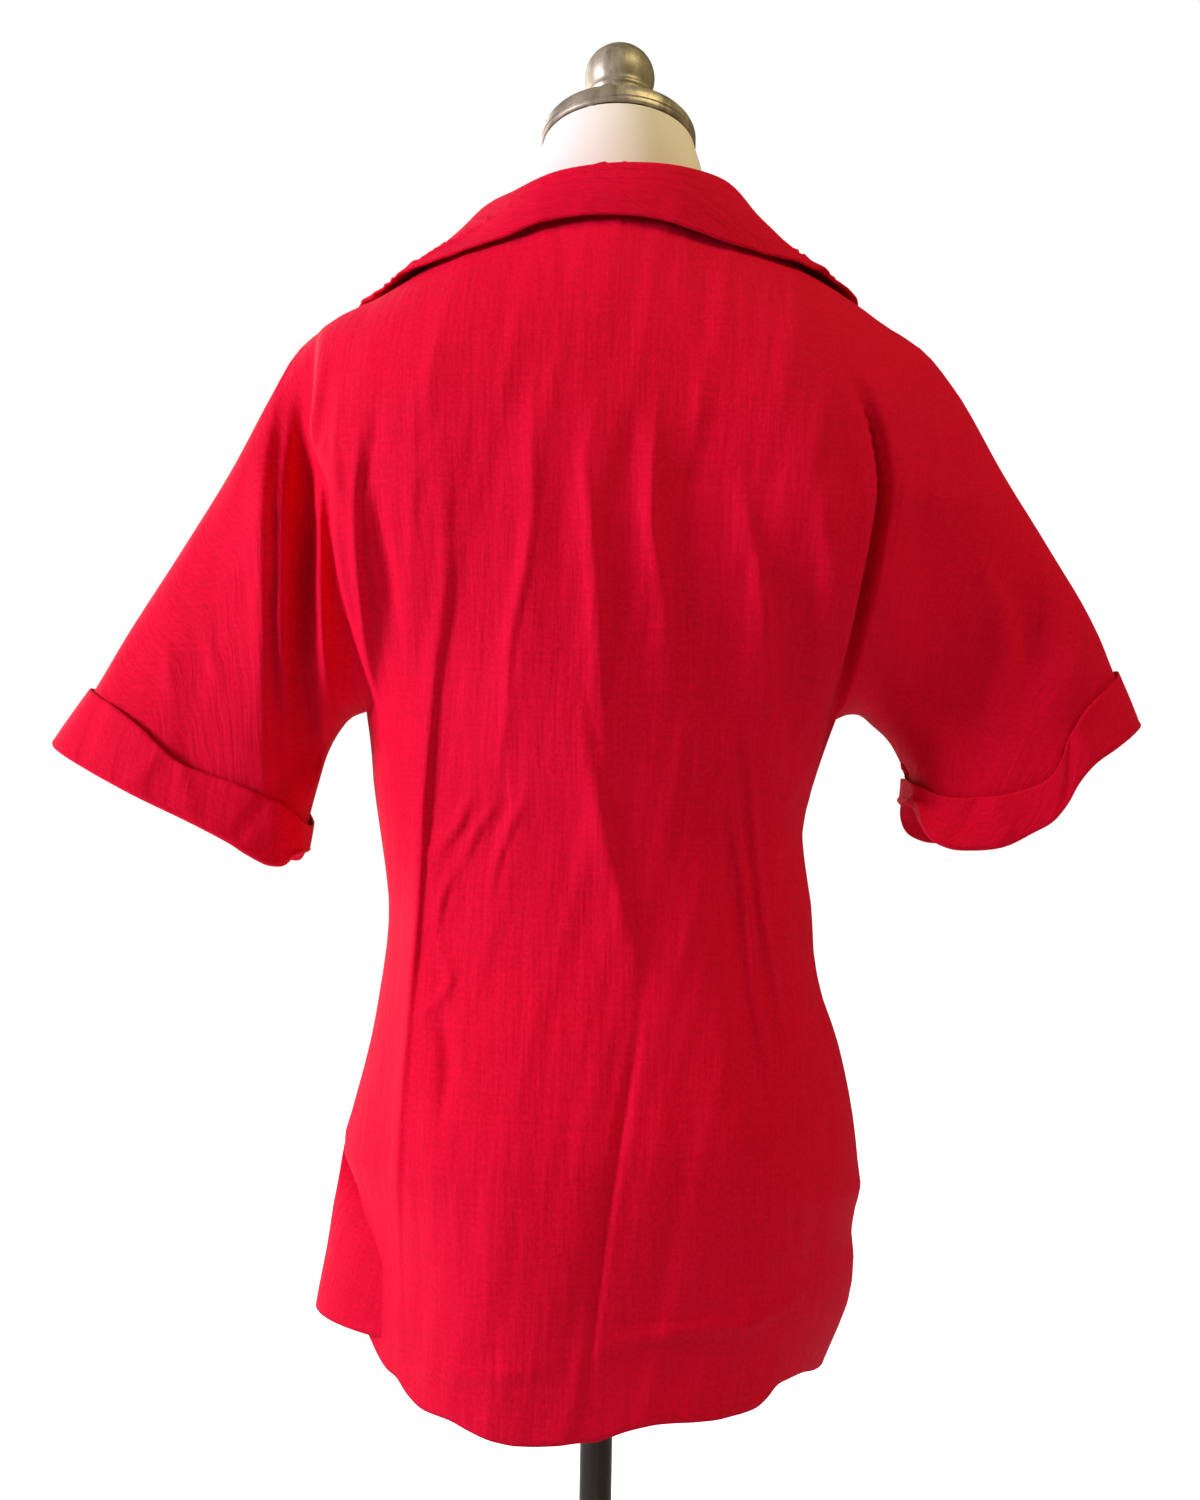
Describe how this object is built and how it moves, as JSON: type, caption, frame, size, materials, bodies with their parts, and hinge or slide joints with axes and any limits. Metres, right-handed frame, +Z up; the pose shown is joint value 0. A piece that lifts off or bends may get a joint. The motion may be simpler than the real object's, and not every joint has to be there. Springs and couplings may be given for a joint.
{
  "type": "tie-front top on a dress form",
  "caption": "Red woven short-sleeved top with a folded collar, turned-back cuffs and a waist tie in front, worn by a limbless dress form on a pole and round foot.",
  "frame": {"origin": "centre of the stand's foot on the floor, on the pole's axis", "axes": "+Z up along the pole, -Y out of the front of the shirt, +X towards the wearer's left"},
  "size_m": [0.6922, 0.34, 1.3648],
  "materials": {
    "red_cloth": "matte slub weave",
    "form_cover": "smooth cream cover over foam",
    "fittings": "dark antiqued, semi-gloss",
    "stand_metal": "dark bronze, semi-gloss"
  },
  "bodies": {
    "root": {"back": "red_cloth", "front_left": "red_cloth", "front_right": "red_cloth", "collar": "red_cloth", "cuff_left": "red_cloth", "cuff_right": "red_cloth", "tie_strap_left": "red_cloth", "tie_strap_right": "red_cloth", "tie_tail_left": "red_cloth", "tie_tail_right": "red_cloth", "tie_knot": "red_cloth", "form_torso": "form_cover", "form_neck_cap": "fittings", "form_cap_knob": "fittings", "stand_pole": "stand_metal", "stand_base": "stand_metal"}
  },
  "joints": []
}
